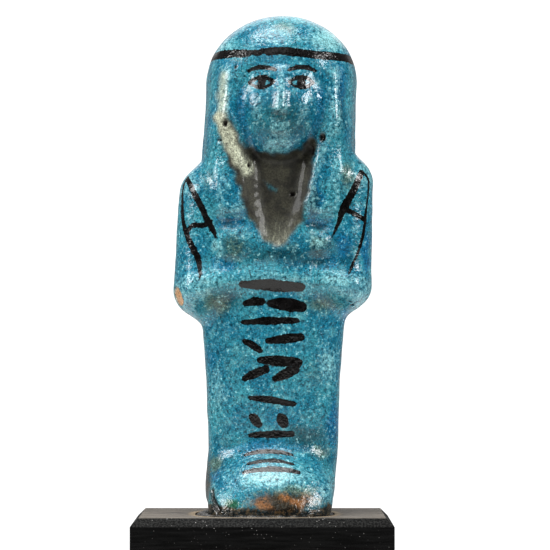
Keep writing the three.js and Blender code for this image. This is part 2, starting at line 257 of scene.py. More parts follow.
EYE_Z = (FIGURE_HEIGHT + CHIN_Z) / 2
FACE_THIRD = (FIGURE_HEIGHT - CHIN_Z) * 0.275
NOSE_BASE_Z = CHIN_Z + FACE_THIRD
BROW_Z = CHIN_Z + 2 * FACE_THIRD
MOUTH_Z = NOSE_BASE_Z - FACE_THIRD / 3
FACE_HALF_WIDTH = FACE_THIRD * 1.1
EYE_WIDTH = 2 * FACE_HALF_WIDTH / 5
FACE_MIDDLE_Z = (CHIN_Z + BROW_Z) / 2 + 1.2
FACE_FRONT_Y = -10.9
FACE_DEPTH = 6.4


def nose(across, z):
    """A wedge, narrow and low between the brows, broad and high at its tip."""
    down = np.clip((BROW_Z - z) / (BROW_Z - NOSE_BASE_Z), 0, 1)
    half = lerp(0.8, 1.35, down ** 1.5)
    base = 1 - smoothstep(NOSE_BASE_Z - z, -1.0, 0.35)
    bridge = 1 - smoothstep(z, BROW_Z - 1.5, BROW_Z + 2)
    return lerp(0.3, 1.25, down) * np.exp(-((across / half) ** 2.2)) * base * bridge


def eye(across, z):
    socket = swell((across - 0.95 * EYE_WIDTH) / 2.0, (z - EYE_Z - 0.1) / 1.5)
    lid = swell((across - 1.15 * EYE_WIDTH) / 1.25, (z - EYE_Z) / 0.75)
    arch = BROW_Z + 0.1 - 0.05 * (across - 2.7) ** 2
    brow = swell(0, (z - arch) / 0.9) * smoothstep(across, 0.2, 1.8) * (1 - smoothstep(across, 4.2, 6.4))
    return 0.42 * lid + 0.25 * brow - 0.75 * socket


def mouth(across, z):
    smile = 0.05 * across ** 2
    upper = swell(0, (z - MOUTH_Z - 0.55 - smile) / 0.5) * (1 - smoothstep(across, 0.9, 2.1))
    lower = swell(0, (z - MOUTH_Z + 0.65 - smile) / 0.55) * (1 - smoothstep(across, 0.6, 1.9))
    return 0.42 * swell(across / 2.4, (z - MOUTH_Z) / 1.8) + 0.26 * upper + 0.3 * lower


def face(p):
    x, y, z = p
    across = np.abs(x)
    jaw = 1 + 0.24 * smoothstep(FACE_MIDDLE_Z - z, -1.5, FACE_THIRD + 2)
    behind = (y - FACE_FRONT_Y - FACE_DEPTH) / FACE_DEPTH
    ratios = [x * jaw / FACE_HALF_WIDTH, behind, (z - FACE_MIDDLE_Z) / 9.3]
    cheek = 0.3 * swell((across - 3.6) / 1.9, (z - NOSE_BASE_Z - 0.2) / 2.2)
    chin = 0.5 * swell(across / 1.9, (z - CHIN_Z - 1.7) / 1.3)
    features = nose(across, z) + eye(across, z) + mouth(across, z) + cheek + chin
    return (rounded_reach(ratios, 2.3) - 1) * FACE_DEPTH - features


def face_hollow(p):
    """The hollow in the front of the wig that the face sits in."""
    return ellipsoid(p, (0, -11, FACE_MIDDLE_Z), (FACE_HALF_WIDTH + 2.3, 3.4, 9.8))


def figure_distance(points):
    """The whole figure as one distance, negative inside. Points are rows of x, y, z."""
    y, z = points[:, 1], points[:, 2]
    x = points[:, 0] - lean(z)
    p = (x, y, z)
    hair_behind = 0.45 * smoothstep(z, HAIR_END_Z - 0.9, HAIR_END_Z + 0.9) * smoothstep(y, 0, 3)
    arms = smooth_min(upper_arm(p, RIGHT_ARM), upper_arm(p, LEFT_ARM), 1)
    form = smooth_min(column(p) - hair_behind, foot(p), 2.2)
    form = smooth_min(form, arms, 3)
    form = form - front_relief(x, z) * smoothstep(-y, 1, 5)
    form = smooth_max(form, -face_hollow(p), 1.8)
    form = smooth_min(form, face(p), 0.9)
    return smooth_max(form, -z - 0.4, 1.6)


def slopes(points, step=0.02):
    """Slope of the figure's distance at each point."""
    columns = []
    for axis in range(3):
        shift = np.zeros(3)
        shift[axis] = step
        columns.append((figure_distance(points + shift) - figure_distance(points - shift)) / (2 * step))
    return np.stack(columns, axis=1)


def onto_figure(x, z, side=-1):
    """Points where sight lines along Y meet the figure, from the front (-1) or the back (+1).
    A line that misses it gives the point that comes nearest."""
    x = np.asarray(x, float)
    z = np.asarray(z, float)
    depth = np.full_like(x, 16.0 * side)
    best_depth = depth.copy()
    nearest = np.full_like(x, np.inf)
    for _ in range(120):
        distance = figure_distance(np.stack([x, depth, z], axis=1))
        closer = distance < nearest
        best_depth[closer] = depth[closer]
        nearest[closer] = distance[closer]
        stride = np.clip(0.6 * distance, 0.03, 2.0)
        depth = depth - side * np.where(distance > 0.005, stride, 0)
    return np.stack([x, best_depth, z], axis=1)


def to_metres(points):
    return points * MM + np.array(SPINE)


def to_millimetres(points):
    return (points - np.array(SPINE)) / MM


# ---- Meshes ----------------------------------------------------------------------------------------

def merged_copy(node):
    """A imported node's mesh as one closed skin."""
    bm = bmesh.new()
    bm.from_mesh(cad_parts[node].data)
    bmesh.ops.remove_doubles(bm, verts=bm.verts, dist=0.001 * MM)
    return bm


def new_piece(name, bm):
    mesh = bpy.data.meshes.new(name)
    bm.to_mesh(mesh)
    bm.free()
    for extra in ("custom_normal", "sharp_edge", "sharp_face"):
        if extra in mesh.attributes:
            mesh.attributes.remove(mesh.attributes[extra])
    piece = bpy.data.objects.new(name, mesh)
    bpy.context.scene.collection.objects.link(piece)
    return piece


def apply_modifiers(piece):
    """Turns a piece's live modifiers into its mesh."""
    graph = bpy.context.evaluated_depsgraph_get()
    mesh = bpy.data.meshes.new_from_object(piece.evaluated_get(graph))
    piece.modifiers.clear()
    piece.data = mesh


def vertex_points(mesh):
    points = np.zeros(len(mesh.vertices) * 3, np.float32)
    mesh.vertices.foreach_get("co", points)
    return points.reshape(-1, 3).astype(float)


def set_vertex_points(mesh, points):
    mesh.vertices.foreach_set("co", points.astype(np.float32).ravel())
    mesh.update()


def shade_smooth(mesh):
    mesh.polygons.foreach_set("use_smooth", [True] * len(mesh.polygons))


def set_attribute(mesh, name, values):
    attribute = mesh.attributes.new(name, "FLOAT", "POINT")
    attribute.data.foreach_set("value", np.asarray(values, np.float32))


def neighbour_mean(mesh, values, rounds):
    """Values averaged with those of the neighbouring vertices, again and again."""
    edges = np.zeros(len(mesh.edges) * 2, np.int32)
    mesh.edges.foreach_get("vertices", edges)
    a, b = edges.reshape(-1, 2).T
    count = np.bincount(a, minlength=len(values)) + np.bincount(b, minlength=len(values))
    for _ in range(rounds):
        total = np.zeros_like(values)
        for axis in range(values.shape[1]):
            total[:, axis] += np.bincount(a, values[b, axis], len(values))
            total[:, axis] += np.bincount(b, values[a, axis], len(values))
        values = 0.5 * values + 0.5 * total / count[:, None]
    return values


def grain(points, wavelength, seed):
    """Smooth noise from -1 to 1 over points in millimetres."""
    offset = Vector((seed * 17.3, seed * 5.1, seed * 9.7))
    return np.array([noise.noise(Vector(p) / wavelength + offset) for p in points])


# ---- Strokes painted on the figure: chains of (x, z, half width) in the front view ---------------------

LEFT_HOE = [  # on the figure's right arm: two arms of the tool and the tie between them
    [(-14.4, 57.5, 0.2), (-15.1, 55.6, 0.3), (-15.25, 52.9, 0.41), (-15.1, 50.1, 0.48), (-14.5, 47.7, 0.52),
     (-13.5, 45.6, 0.54), (-12.5, 43.5, 0.48), (-12.2, 41.2, 0.26), (-12.4, 40.0, 0.1)],
    [(-14.4, 57.1, 0.45), (-13.4, 55.1, 0.53), (-12.25, 52.9, 0.55), (-11.3, 50.8, 0.53), (-10.4, 49.2, 0.55),
     (-9.8, 47.9, 0.38), (-9.5, 46.9, 0.1)],
    [(-14.3, 48.5, 0.34), (-13.5, 49.3, 0.42), (-12.4, 49.3, 0.46), (-11.3, 49.4, 0.48), (-10.3, 50.1, 0.3)],
]
RIGHT_HOE = [  # on the figure's left arm
    [(14.8, 58.2, 0.5), (13.75, 55.8, 0.66), (12.65, 53.7, 0.66), (11.6, 51.7, 0.62), (11.0, 49.9, 0.36),
     (10.5, 48.7, 0.25), (9.8, 47.2, 0.1)],
    [(15.1, 58.2, 0.27), (16.0, 57.0, 0.27), (15.95, 54.7, 0.29), (15.6, 51.7, 0.34), (15.4, 49.9, 0.34),
     (14.9, 47.2, 0.32), (14.1, 44.6, 0.29), (13.4, 43.1, 0.27), (12.7, 41.3, 0.22)],
    [(11.95, 52.1, 0.39), (13.5, 51.3, 0.45), (15.3, 50.3, 0.4)],
]

# Painted lines round the eyes, for the eye at +X. The other is its mirror.
EYE_MIDDLE_X = 1.15 * EYE_WIDTH
EYE_HALF = 0.72 * EYE_WIDTH
EYE_HALF_HEIGHT = 0.42 * EYE_HALF
PUPIL_RADIUS = 0.85 * EYE_HALF_HEIGHT
EYE_LINE = 0.36
BROW_LINE_Z = BROW_Z + 0.8
BROW_RISE = 0.3 * EYE_HALF


def arch(middle_x, base_z, half, rise, half_width, points=7):
    """A line that arches over a middle, its ends at the base height."""
    chain = []
    for k in range(points):
        t = -1 + 2 * k / (points - 1)
        thin = 1 - 0.35 * t * t
        chain.append((middle_x + half * t, base_z + rise * (1 - t * t), half_width * thin))
    return chain


def eye_strokes():
    strokes = []
    for side in (-1, 1):
        middle = side * EYE_MIDDLE_X
        strokes.append(arch(middle, EYE_Z, EYE_HALF, EYE_HALF_HEIGHT, EYE_LINE * 1.2))
        strokes.append(arch(middle, EYE_Z, EYE_HALF, -EYE_HALF_HEIGHT, EYE_LINE))
        strokes.append([(middle - 0.05, EYE_Z, PUPIL_RADIUS), (middle + 0.05, EYE_Z, PUPIL_RADIUS)])
        strokes.append(arch(middle, BROW_LINE_Z, 1.08 * EYE_HALF, BROW_RISE, EYE_LINE * 1.3))
    return [[(x + float(lean(z)), z, width) for x, z, width in stroke] for stroke in strokes]


# Rows of plain strokes down the middle of the legs, from the top: each stroke is its start, its end, how far its
# end lies above its start, and its half width.
ROW_TOP_Z = 39.4
ROW_PITCH = 3.15
ROWS = [
    [(-5.2, 4.6, -0.5, 1.05)],
    [(-4.8, -1.8, 0.3, 0.75), (-0.4, 4.8, -0.6, 1.15)],
    [(-5.0, 4.0, 0.3, 0.65)],
    [(-4.8, -2.2, -1.6, 0.65), (-0.8, 4.6, 0.6, 0.85)],
    [(-2.2, 4.2, -0.5, 0.95)],
    [(-4.8, -1.2, 1.6, 0.8), (0.4, 3.8, 1.5, 0.9)],
    [(-3.8, 3.4, -1.1, 0.65)],
    [(-3.6, -2.4, -1.3, 0.85), (1.2, 1.8, -1.3, 1.0)],
    [(-3.9, 3.2, 0.2, 0.65)],
]
FOOT_ROW_Z = (11.2, 9.75, 8.4)
FOOT_ROW = [(-4.6, 3.2, 0.5), (-4.2, 3.2, 0.52), (-4.8, 4.2, 0.6)]


def inscription_strokes():
    strokes = []
    for row, dashes in enumerate(ROWS):
        z = ROW_TOP_Z - row * ROW_PITCH
        for start, end, rise, half_width in dashes:
            middle = (start + end) / 2
            strokes.append([
                (start, z, 0.6 * half_width),
                (middle, z + rise / 2 + 0.1, half_width),
                (end, z + rise, 0.8 * half_width),
            ])
    for z, (start, end, half_width) in zip(FOOT_ROW_Z, FOOT_ROW):
        strokes.append(arch((start + end) / 2, z - 0.3, (end - start) / 2, 0.6, half_width))
    return strokes


# The headband: a painted ring round the wig, tied behind, with two plain tails.
BAND_Z = 78.0
BAND_RISE_FORWARD = 0.035
BAND_HALF_WIDTH = 0.72
BAND_GAP_X = -2.4  # where it has worn away
TAILS = [
    [(0.2, 77.6, 0.5), (-0.9, 72.5, 0.5), (-1.5, 66.5, 0.62)],
    [(0.8, 77.6, 0.5), (2.1, 73, 0.5), (2.4, 68.5, 0.62)],
]


def smooth_chain(chain, spacing=0.4):
    """Points close together on a smooth curve through a chain."""
    knots = np.array(chain, float)
    padded = np.vstack([2 * knots[0] - knots[1], knots, 2 * knots[-1] - knots[-2]])
    points = []
    for k in range(len(knots) - 1):
        a, b, c, d = padded[k:k + 4]
        steps = max(2, int(np.hypot(*(c - b)[:2]) / spacing))
        for t in np.arange(steps) / steps:
            curve = 2 * b + (c - a) * t + (2 * a - 5 * b + 4 * c - d) * t ** 2 + (3 * b - a - 3 * c + d) * t ** 3
            points.append(curve / 2)
    points.append(knots[-1])
    return np.array(points)


def stroke_distance(points, chain, side=-1):
    """Distance over the surface to the edge of one painted stroke, negative inside it."""
    curve = smooth_chain(chain)
    line = onto_figure(curve[:, 0], curve[:, 1], side)
    widths = curve[:, 2]
    distance = np.full(len(points), 9.0)
    margin = 2.5
    near = np.all((points > line.min(axis=0) - margin) & (points < line.max(axis=0) + margin), axis=1)
    close = points[near]
    best = np.full(len(close), 9.0)
    for a, b, wide_a, wide_b in zip(line, line[1:], widths, widths[1:]):
        run = b - a
        along = np.clip((close - a) @ run / max(run @ run, 1e-9), 0, 1)
        off = np.linalg.norm(close - a - along[:, None] * run, axis=1)
        best = np.minimum(best, off - lerp(wide_a, wide_b, along))
    distance[near] = best
    return distance


def band_ink(points):
    """Distance to the headband's edge."""
    x, y, z = points.T
    middle = BAND_Z - BAND_RISE_FORWARD * y - 0.012 * x + 0.12 * np.sin(0.55 * x + 0.8) - 0.004 * x * x
    worn = (0.35 + 0.9 * grain(points, 0.8, 8)) * swell((x - BAND_GAP_X) / 1.3, 0) * (y < 0)
    return np.abs(z - middle) - BAND_HALF_WIDTH + worn


def ink(points):
    distance = band_ink(points)
    for chain in LEFT_HOE + RIGHT_HOE + eye_strokes() + inscription_strokes():
        distance = np.minimum(distance, stroke_distance(points, chain))
    for chain in TAILS:
        distance = np.minimum(distance, stroke_distance(points, chain, side=1))
    return np.clip(distance, -2, 2)


# ---- Wear and burial marks --------------------------------------------------------------------------

PITS = [  # small round holes: place in the front view, radius, depth, and how much taller than wide
    dict(x=-8.0, z=66.3, radius=0.42, depth=0.7, tall=1.7),
    dict(x=8.2, z=63.95, radius=0.68, depth=0.6, tall=1.25),
    dict(x=6.5, z=61.8, radius=0.62, depth=0.5, tall=1.4),
    dict(x=-4.0, z=59.4, radius=0.5, depth=0.7, tall=0.9),
    dict(x=3.2, z=54.6, radius=0.5, depth=0.8, tall=1.0),
    dict(x=-6.2, z=75.8, radius=0.3, depth=0.4, tall=0.9),
    dict(x=-9.2, z=63.6, radius=0.22, depth=0.3, tall=1.0),
    dict(x=-8.8, z=63.6, radius=0.2, depth=0.3, tall=1.0),
    dict(x=13.2, z=36.0, radius=0.35, depth=0.4, tall=0.8),
]
CHIP = dict(x=-16.1, z=37.2, half_width=1.1, half_height=1.9, depth=0.4)
GROOVE = [(-10.3, 5.0, 0.35), (-10.0, 3.4, 0.45), (-9.1, 2.0, 0.45)]


def pit_shape(points, pit):
    """How far inside a pit each point is, from 0 on its rim to 1 in its middle, and 0 outside it."""
    centre = onto_figure([pit["x"]], [pit["z"]])[0]
    off = points - centre
    off[:, 2] /= pit["tall"]
    return np.linalg.norm(off, axis=1) / pit["radius"]


def wear(points, normals):
    """Moves for the hand-made unevenness, pits, chip and groove, along the normals, and the dirt and chip marks."""
    x, y, z = points.T
    uneven = 0.16 * grain(points, 8.0, 1) + 0.06 * grain(points, 2.6, 2) + 0.022 * grain(points, 0.9, 3)
    dirt = np.zeros(len(points))
    for pit in PITS:
        reach = pit_shape(points, pit)
        uneven -= pit["depth"] * (1 - smoothstep(reach, 0.35, 1.05))
        uneven += 0.09 * swell((reach - 1.35) / 0.28, 0)
        dirt = np.maximum(dirt, 1 - smoothstep(reach, 0.7, 1.15))
    chip_middle = onto_figure([CHIP["x"]], [CHIP["z"]])[0]
    across = (x - chip_middle[0]) / CHIP["half_width"]
    up = (z - chip_middle[2]) / CHIP["half_height"]
    deep = (y - chip_middle[1]) / 3.0
    reach = np.sqrt(across ** 2 + up ** 2 + deep ** 2) + 0.25 * grain(points, 1.1, 4)
    chipped = 1 - smoothstep(reach, 0.75, 1.0)
    uneven -= chipped * (CHIP["depth"] + 0.12 * grain(points, 0.6, 5))
    groove = stroke_distance(points, GROOVE)
    uneven -= 0.5 * (1 - smoothstep(groove, -0.3, 0.35))
    dirt = np.maximum(dirt, 0.9 * (1 - smoothstep(groove, -0.2, 0.5)))
    return normals * uneven[:, None], dirt, chipped


# Bare body between the lappets, where the glaze is missing: bands of (x, z, half width) in the front view.
BARE_LEFT = [(-8.8, 67.2, 1.1), (-5.8, 60.8, 1.8), (-1.6, 52.5, 2.9), (0.2, 48.4, 2.2)]
BARE_RIGHT = [(6.6, 63.2, 0.9), (4.4, 58.5, 2.2), (2.2, 51.5, 2.8), (0.9, 47.8, 2.0)]
BARE_THROAT = [(-5, 60.8, 1.8), (0.4, 58.2, 2.6), (5.2, 60.8, 1.6)]
CREAM_EDGE = [(-9.2, 67.6, 0.8), (-7.4, 63.6, 1.0), (-4.4, 58.6, 1.0)]
HAIR_STREAK = [(-8.3, 74.6, 0.5), (-8.6, 71, 0.75), (-8.5, 67.5, 0.7)]

# How the glaze lies, as soft patches in the front view, some darker patches being painted shade and some paler ones
# painted highlights: middle x and z, half width and half height, strength.
DEEP_BLUE = [
    (11.3, 72.5, 1.2, 4.5, 0.8), (-6.5, 76.6, 3.2, 0.9, 0.5), (6.8, 54.0, 1.3, 4.2, 0.9), (-5.3, 54.5, 0.8, 3.5, 0.5),
    (-7.4, 49.8, 2.2, 0.9, 0.9), (7.2, 49.4, 1.9, 0.9, 0.9), (11.6, 46.0, 2.0, 2.6, 0.7), (15.6, 45.0, 0.9, 4.0, 0.9),
    (3.6, 43.4, 4.2, 0.8, 0.5), (-10.5, 27.0, 1.4, 3.5, 0.5), (10.2, 16.5, 1.2, 5.0, 0.8), (-9.4, 7.4, 1.2, 1.6, 0.7),
    (-9.4, 42.6, 3.0, 0.7, 0.4), (12.2, 33.5, 1.0, 2.0, 0.7), (-11.0, 33.0, 0.9, 3.0, 0.4), (6.0, 15.0, 3.0, 2.4, 0.4),
]
# Darker glaze, and painted shade: across the middle of the body, under the forearms, over the lower face, beside the
# right lappet and on the right arm.
DARK_GLAZE_AND_SHADE = [
    (1.0, 44.4, 6.5, 1.9, 0.8), (-8.0, 36.8, 3.6, 2.2, 0.8), (7.6, 36.4, 3.2, 1.9, 0.6), (6.6, 43.2, 3.6, 0.9, 0.8),
    (6.7, 53.5, 0.9, 3.6, 0.9), (7.4, 48.9, 1.6, 0.8, 0.8), (-7.2, 49.4, 1.8, 0.8, 0.6), (7.6, 45.4, 3.0, 2.4, 0.8),
    (0.6, 36.6, 5.0, 1.0, 0.5), (2.0, 66.0, 5.6, 5.0, 0.7), (5.6, 14.0, 4.2, 2.2, 0.8), (11.2, 69.0, 1.0, 6.0, 0.5),
    (-10.3, 3.4, 0.9, 2.4, 0.9), (-6.4, 45.2, 3.0, 2.4, 0.7), (-7.0, 13.0, 2.6, 1.2, 0.4), (9.4, 9.6, 1.4, 1.6, 0.5),
    (12.4, 44.0, 2.2, 3.0, 0.5), (1.0, 4.6, 6.0, 1.4, 0.6), (-11.6, 40.0, 2.0, 1.0, 0.3),
]
THIN_GREY = [
    (8.4, 35.8, 3.2, 1.5, 0.7), (-9.6, 36.2, 2.6, 1.7, 0.8), (-6.4, 45.8, 2.8, 2.2, 0.6), (1.6, 67.5, 4.0, 3.0, 0.3),
    (7.3, 46.6, 1.6, 1.2, 0.8), (12.6, 57.5, 1.2, 2.6, 0.8), (-11.0, 57.0, 1.4, 3.0, 0.5), (1.8, 82.6, 2.2, 1.2, 0.6),
    (6.8, 24.5, 2.2, 4.0, 0.4), (-9.8, 9.6, 1.6, 2.0, 0.8), (7.8, 11.4, 2.0, 1.2, 0.7), (-5.6, 26.5, 2.5, 2.0, 0.3),
    (3.6, 5.2, 4.6, 1.2, 0.8), (-3.0, 5.0, 2.4, 0.8, 0.5), (-6.0, 77.0, 1.6, 0.6, 0.4),
]
# Paler thin glaze, and painted highlights and sheen: on the crown, along the right lappet's ridge and on the top of
# the foot.
PALE_GLAZE_AND_HIGHLIGHT = [
    (9.2, 80.6, 3.2, 2.2, 0.9), (-8.5, 79.5, 2.6, 2.0, 0.6), (-1.0, 80.4, 2.6, 1.6, 0.4), (9.7, 70.0, 0.6, 4.0, 0.5),
    (10.6, 56.0, 0.9, 7.0, 0.5), (7.5, 46.3, 1.5, 1.3, 0.7), (10.6, 40.2, 4.0, 1.4, 0.7), (-11.6, 39.6, 3.6, 1.5, 0.6),
    (0.2, 7.4, 8.0, 1.8, 0.7), (-9.4, 21.0, 1.6, 5.0, 0.5), (9.4, 26.0, 1.8, 4.0, 0.6), (-9.8, 46.0, 0.6, 1.2, 0.9),
    (-8.6, 56.0, 1.8, 4.0, 0.4), (14.6, 39.0, 1.6, 2.0, 0.5), (8.4, 4.6, 1.2, 2.0, 0.6), (-8.9, 44.6, 0.5, 4.0, 0.6),
]


def glaze(points, patches, warp):
    """How strongly a set of soft patches shows at each point of the front, their edges drawn out by a warp."""
    x, y, z = points.T
    strength = np.zeros(len(points))
    for middle_x, middle_z, half_width, half_height, most in patches:
        across = (x + warp - middle_x) / half_width
        up = (z - warp - middle_z) / half_height
        strength = np.maximum(strength, most * swell(0.9 * across, 0.9 * up))
    return strength * smoothstep(-y, -3, 0)


def patch(points, chain, edge, roughness=0.5):
    """1 in a band of the front view and 0 outside it, with a ragged soft edge."""
    x, y, z = points.T
    distance = band_distance(x, z, chain) + roughness * grain(points, 1.6, 6)
    return (1 - smoothstep(distance, -edge, edge)) * (y < 0)


def surface_marks(mesh, points, normals):
    """What lies where on the figure's skin, as named values for its glaze, painted shade and painted highlights among
    them.
    """
    x, y, z = points.T
    hollow = np.sum((neighbour_mean(mesh, points, 180) - points) * normals, axis=1)
    bare = np.maximum(patch(points, BARE_LEFT, 0.5), patch(points, BARE_RIGHT, 0.5))
    bare = np.maximum(bare, patch(points, BARE_THROAT, 0.5))
    warp = 0.9 * grain(points, 2.4, 7)
    foot_front = smoothstep(-y, 6, 9)
    orange = swell((x - 1.6 + warp) / 6.4, (z - 3.1) / 2.0) * foot_front
    green = swell((x + 6.9) / 1.7, (z - 2.9) / 1.1) * smoothstep(-y, 3, 6)
    grime = 1 - smoothstep(z + 0.7 * warp - 0.06 * np.abs(x), 1.1, 3.2)
    strip = swell((x + 11.4) / 1.3, (z - 6.5) / 5.0) * (y < 4)
    return {
        "deep": np.maximum(glaze(points, DEEP_BLUE, warp), 0.5 * smoothstep(hollow, 0.06, 0.25)),
        # darker glaze, with painted shade
        "dark_glaze_and_shade": glaze(points, DARK_GLAZE_AND_SHADE, warp),
        "thin": glaze(points, THIN_GREY, warp),
        # paler thin glaze on ridges and tops, partly painted highlights and sheen
        "pale_glaze_and_highlight": np.maximum(glaze(points, PALE_GLAZE_AND_HIGHLIGHT, warp), 0.5 * smoothstep(-hollow, 0.12, 0.45)),
        "ink": ink(points),
        "bare": bare,
        "cream": np.maximum(patch(points, CREAM_EDGE, 0.7), 0.8 * patch(points, HAIR_STREAK, 0.6, 0.25)),
        "orange": orange,
        "green": green,
        "grime": np.maximum(grime, 0.8 * strip),
    }


def make_figure():
    """The figure's skin: fine, even, and drawn exactly onto its forms."""
    figure = new_piece("ushabti_skin", merged_copy("ushabti_figurine"))
    remesh = figure.modifiers.new("fine", "REMESH")
    remesh.mode = "VOXEL"
    remesh.voxel_size = 0.31 * MM
    apply_modifiers(figure)
    mesh = figure.data
    points = to_millimetres(vertex_points(mesh))
    for _ in range(3):
        slope = slopes(points)
        steep = np.sum(slope * slope, axis=1)
        points = points - slope * np.clip(figure_distance(points) / steep, -0.4, 0.4)[:, None]
    normals = slopes(points)
    normals /= np.linalg.norm(normals, axis=1)[:, None]
    marks = surface_marks(mesh, points, normals)
    moves, marks["dirt"], marks["chip"] = wear(points, normals)
    set_vertex_points(mesh, to_metres(points + moves))
    for name, values in marks.items():
        set_attribute(mesh, name, values)
    shade_smooth(mesh)
    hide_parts("ushabti_figurine")
    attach(figure, "root")
    return figure


# ---- Finishes -----------------------------------------------------------------------------------------

def colour(red, green, blue):
    """A colour given as screen values from 0 to 255."""
    linear = []
    for value in (red, green, blue):
        v = value / 255
        linear.append(v / 12.92 if v <= 0.04045 else ((v + 0.055) / 1.055) ** 2.4)
    return (*linear, 1.0)


class Finish:
    """A material in the making. Each method adds a node and gives its result."""

    def __init__(self, name):
        self.material = bpy.data.materials.new(name)
        self.material.use_nodes = True
        self.tree = self.material.node_tree
        self.tree.nodes.clear()
        self.shader = self.tree.nodes.new("ShaderNodeBsdfPrincipled")
        output = self.tree.nodes.new("ShaderNodeOutputMaterial")
        self.tree.links.new(self.shader.outputs["BSDF"], output.inputs["Surface"])
        place = self.tree.nodes.new("ShaderNodeTexCoord")
        self.place = self.mapped(place.outputs["Object"], scale=(1 / MM, 1 / MM, 1 / MM))

    def set(self, socket, value):
        if isinstance(value, bpy.types.NodeSocket):
            self.tree.links.new(value, socket)
        else:
            socket.default_value = value

    def mapped(self, vector, scale=(1, 1, 1), turn=(0, 0, 0)):
        node = self.tree.nodes.new("ShaderNodeMapping")
        node.inputs["Scale"].default_value = scale
        node.inputs["Rotation"].default_value = turn
        self.set(node.inputs["Vector"], vector)
        return node.outputs["Vector"]

    def mark(self, name):
        """A named value of the piece's skin."""
        node = self.tree.nodes.new("ShaderNodeAttribute")
        node.attribute_type = "GEOMETRY"
        node.attribute_name = name
        return node.outputs["Fac"]

    def clouds(self, size, detail=2.0, place=None, roughness=0.5):
        """Noise from 0 to 1, with blotches of a size in millimetres."""
        node = self.tree.nodes.new("ShaderNodeTexNoise")
        node.inputs["Scale"].default_value = 1 / size
        node.inputs["Detail"].default_value = detail
        node.inputs["Roughness"].default_value = roughness
        self.set(node.inputs["Vector"], place or self.place)
        return node.outputs["Fac"]

    def dots(self, spacing, place=None):
        """Distance to the nearest of scattered points, in shares of their spacing."""
        node = self.tree.nodes.new("ShaderNodeTexVoronoi")
        node.inputs["Scale"].default_value = 1 / spacing
        self.set(node.inputs["Vector"], place or self.place)
        return node.outputs["Distance"]

    def math(self, operation, a, b=0.0, c=0.0):
        node = self.tree.nodes.new("ShaderNodeMath")
        node.operation = operation
        for socket, value in zip(node.inputs, (a, b, c)):
            self.set(socket, value)
        return node.outputs[0]

    def step(self, value, start, end, low=0.0, high=1.0):
        """A value eased from low at the start to high at the end."""
        node = self.tree.nodes.new("ShaderNodeMapRange")
        node.interpolation_type = "SMOOTHSTEP"
        for name, number in zip(("From Min", "From Max", "To Min", "To Max"), (start, end, low, high)):
            node.inputs[name].default_value = number
        self.set(node.inputs["Value"], value)
        return node.outputs["Result"]

    def mix(self, a, b, share):
        node = self.tree.nodes.new("ShaderNodeMix")
        node.data_type = "RGBA"
        self.set(node.inputs[0], share)
        self.set(node.inputs[6], a)
        self.set(node.inputs[7], b)
        return node.outputs[2]

    def shaded(self, tone, strength):
        """A colour made darker or lighter."""
        node = self.tree.nodes.new("ShaderNodeVectorMath")
        node.operation = "SCALE"
        self.set(node.inputs[0], tone)
        self.set(node.inputs["Scale"], strength)
        return node.outputs[0]

    def axis(self, name):
        node = self.tree.nodes.new("ShaderNodeSeparateXYZ")
        self.set(node.inputs[0], self.place)
        return node.outputs[name]

    def bump(self, height, depth, normal=None):
        """Fine relief whose height of 1 stands for a depth in millimetres."""
        node = self.tree.nodes.new("ShaderNodeBump")
        node.inputs["Distance"].default_value = depth * MM
        self.set(node.inputs["Height"], height)
        if normal is not None:
            self.set(node.inputs["Normal"], normal)
        return node.outputs["Normal"]

    def give(self, name, value):
        self.set(self.shader.inputs[name], value)


# How the glaze changes where it lies deep or thin, where it is darker with painted shade, and where it is paler with
# painted highlights: its tint, how ragged, from and to, how much.
GLAZE_TINTS = {
    "deep": (colour(8, 102, 142), 0.8, 0.25, 0.7, 0.85),
    "dark_glaze_and_shade": (colour(20, 66, 74), 1.0, 0.15, 0.85, 0.85),
    "thin": (colour(88, 110, 96), 1.0, 0.2, 0.8, 0.85),
    "pale_glaze_and_highlight": (colour(140, 194, 198), 1.0, 0.2, 0.9, 0.9),
}


